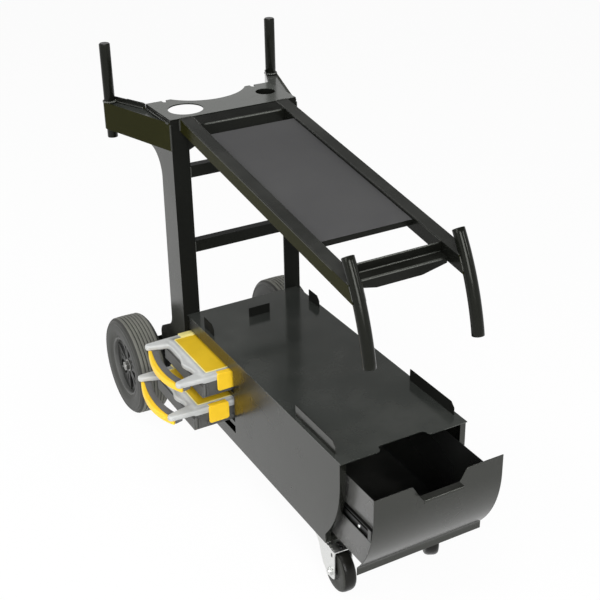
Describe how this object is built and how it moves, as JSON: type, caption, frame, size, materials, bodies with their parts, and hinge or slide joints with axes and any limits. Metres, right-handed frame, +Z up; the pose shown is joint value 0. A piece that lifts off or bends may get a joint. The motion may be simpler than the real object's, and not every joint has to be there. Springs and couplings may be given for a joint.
{
  "type": "gas cylinder trolley",
  "caption": "Wheeled welding trolley with a drawer cabinet, slide-in tool cases, a cylinder platform and yoke, and a tilted tray above the deck.",
  "frame": {"origin": "centre of the bounding box at floor level, drawer and cases as in the picture", "axes": "+Z up, -Y towards the drawer front, -X towards the side with the tool cases"},
  "size_m": [0.563, 1.182, 0.957],
  "materials": {
    "black_paint": "semi-gloss powder coat",
    "matt_panel": "matt powder coat",
    "drawer_paint": "semi-gloss powder coat",
    "zinc_steel": "bright zinc plate",
    "slide_steel": "black plated steel",
    "tyre_rubber": "moulded rubber",
    "wheel_rim": "moulded plastic",
    "caster_rubber": "moulded rubber",
    "case_dark": "fine grained plastic",
    "case_grey": "fine grained plastic",
    "case_yellow": "smooth plastic"
  },
  "bodies": {
    "frame": {"base_deck": "black_paint", "side_panel_left": "black_paint", "side_panel_right": "black_paint", "rear_panel": "black_paint", "bottom_plate": "black_paint", "bay_partition": "black_paint", "case_shelf_lower": "black_paint", "case_shelf_upper": "black_paint", "upright_left": "black_paint", "upright_right": "black_paint", "crossbar_upper": "black_paint", "crossbar_lower": "black_paint", "yoke_plate": "black_paint", "yoke_apron": "black_paint", "ear_left": "black_paint", "ear_right": "black_paint", "ear_web_left": "black_paint", "ear_web_right": "black_paint", "handle_post_left": "black_paint", "handle_post_right": "black_paint", "tray_rail_left": "black_paint", "tray_rail_right": "black_paint", "tray_cross_tube": "black_paint", "tray_panel": "matt_panel", "front_trough": "black_paint", "cable_horn_left": "black_paint", "cable_horn_right": "black_paint", "cylinder_platform": "black_paint", "rear_axle": "zinc_steel", "axle_nuts": "zinc_steel", "slide_channel_left": "slide_steel", "slide_channel_right": "slide_steel", "caster_plate_left": "zinc_steel", "caster_plate_right": "zinc_steel"},
    "rear_wheel_left": {"tyre_left": "tyre_rubber", "rim_left": "wheel_rim"},
    "rear_wheel_right": {"tyre_right": "tyre_rubber", "rim_right": "wheel_rim"},
    "caster_left": {"caster_fork_left": "zinc_steel", "caster_axle_left": "zinc_steel"},
    "caster_right": {"caster_fork_right": "zinc_steel", "caster_axle_right": "zinc_steel"},
    "caster_roll_left": {"caster_wheel_left": "caster_rubber"},
    "caster_roll_right": {"caster_wheel_right": "caster_rubber"},
    "drawer": {"drawer_body": "drawer_paint", "drawer_front": "black_paint", "slide_runner_left": "slide_steel", "slide_runner_right": "slide_steel"},
    "case_upper": {"case_upper_body": "case_dark", "case_upper_frame": "case_grey", "case_upper_lid": "case_yellow", "case_upper_grip": "case_yellow"},
    "latch_upper_outer": {"case_upper_latch_outer": "case_yellow"},
    "latch_upper_inner": {"case_upper_latch_inner": "case_yellow"},
    "case_lower": {"case_lower_body": "case_dark", "case_lower_frame": "case_grey", "case_lower_lid": "case_yellow", "case_lower_grip": "case_yellow"},
    "latch_lower_outer": {"case_lower_latch_outer": "case_yellow"},
    "latch_lower_inner": {"case_lower_latch_inner": "case_yellow"}
  },
  "joints": [
    {"name": "drawer_slide", "type": "slide", "parent": "frame", "child": "drawer", "axis": [0, -1, 0], "range_m": [-0.12, 0.2]},
    {"name": "upper_case_slide", "type": "slide", "parent": "frame", "child": "case_upper", "axis": [-1, 0, 0], "range_m": [-0.062, 0.21]},
    {"name": "lower_case_slide", "type": "slide", "parent": "frame", "child": "case_lower", "axis": [-1, 0, 0], "range_m": [-0.087, 0.185]},
    {"name": "upper_outer_latch_hinge", "type": "hinge", "parent": "case_upper", "child": "latch_upper_outer", "pos_m": [-0.126, 0.0345, 0.26], "axis": [1, 0, 0], "range_deg": [0, 16]},
    {"name": "upper_inner_latch_hinge", "type": "hinge", "parent": "case_upper", "child": "latch_upper_inner", "pos_m": [0.045, 0.0345, 0.26], "axis": [1, 0, 0], "range_deg": [0, 95]},
    {"name": "lower_outer_latch_hinge", "type": "hinge", "parent": "case_lower", "child": "latch_lower_outer", "pos_m": [-0.151, 0.0345, 0.182], "axis": [1, 0, 0], "range_deg": [0, 95]},
    {"name": "lower_inner_latch_hinge", "type": "hinge", "parent": "case_lower", "child": "latch_lower_inner", "pos_m": [0.02, 0.0345, 0.182], "axis": [1, 0, 0], "range_deg": [0, 95]},
    {"name": "rear_wheel_left_spin", "type": "hinge", "parent": "frame", "child": "rear_wheel_left", "pos_m": [-0.1885, 0.464, 0.127], "axis": [1, 0, 0], "continuous": true},
    {"name": "rear_wheel_right_spin", "type": "hinge", "parent": "frame", "child": "rear_wheel_right", "pos_m": [0.2415, 0.464, 0.127], "axis": [1, 0, 0], "continuous": true},
    {"name": "caster_left_swivel", "type": "hinge", "parent": "frame", "child": "caster_left", "pos_m": [-0.0965, -0.36374, 0.104], "axis": [0, 0, 1], "continuous": true},
    {"name": "caster_left_spin", "type": "hinge", "parent": "caster_left", "child": "caster_roll_left", "pos_m": [-0.09901, -0.41168, 0.05], "axis": [0.9986, -0.0523, 0], "continuous": true},
    {"name": "caster_right_swivel", "type": "hinge", "parent": "frame", "child": "caster_right", "pos_m": [0.1495, -0.36374, 0.104], "axis": [0, 0, 1], "continuous": true},
    {"name": "caster_right_spin", "type": "hinge", "parent": "caster_right", "child": "caster_roll_right", "pos_m": [0.12771, -0.40651, 0.05], "axis": [0.891, -0.454, 0], "continuous": true}
  ]
}
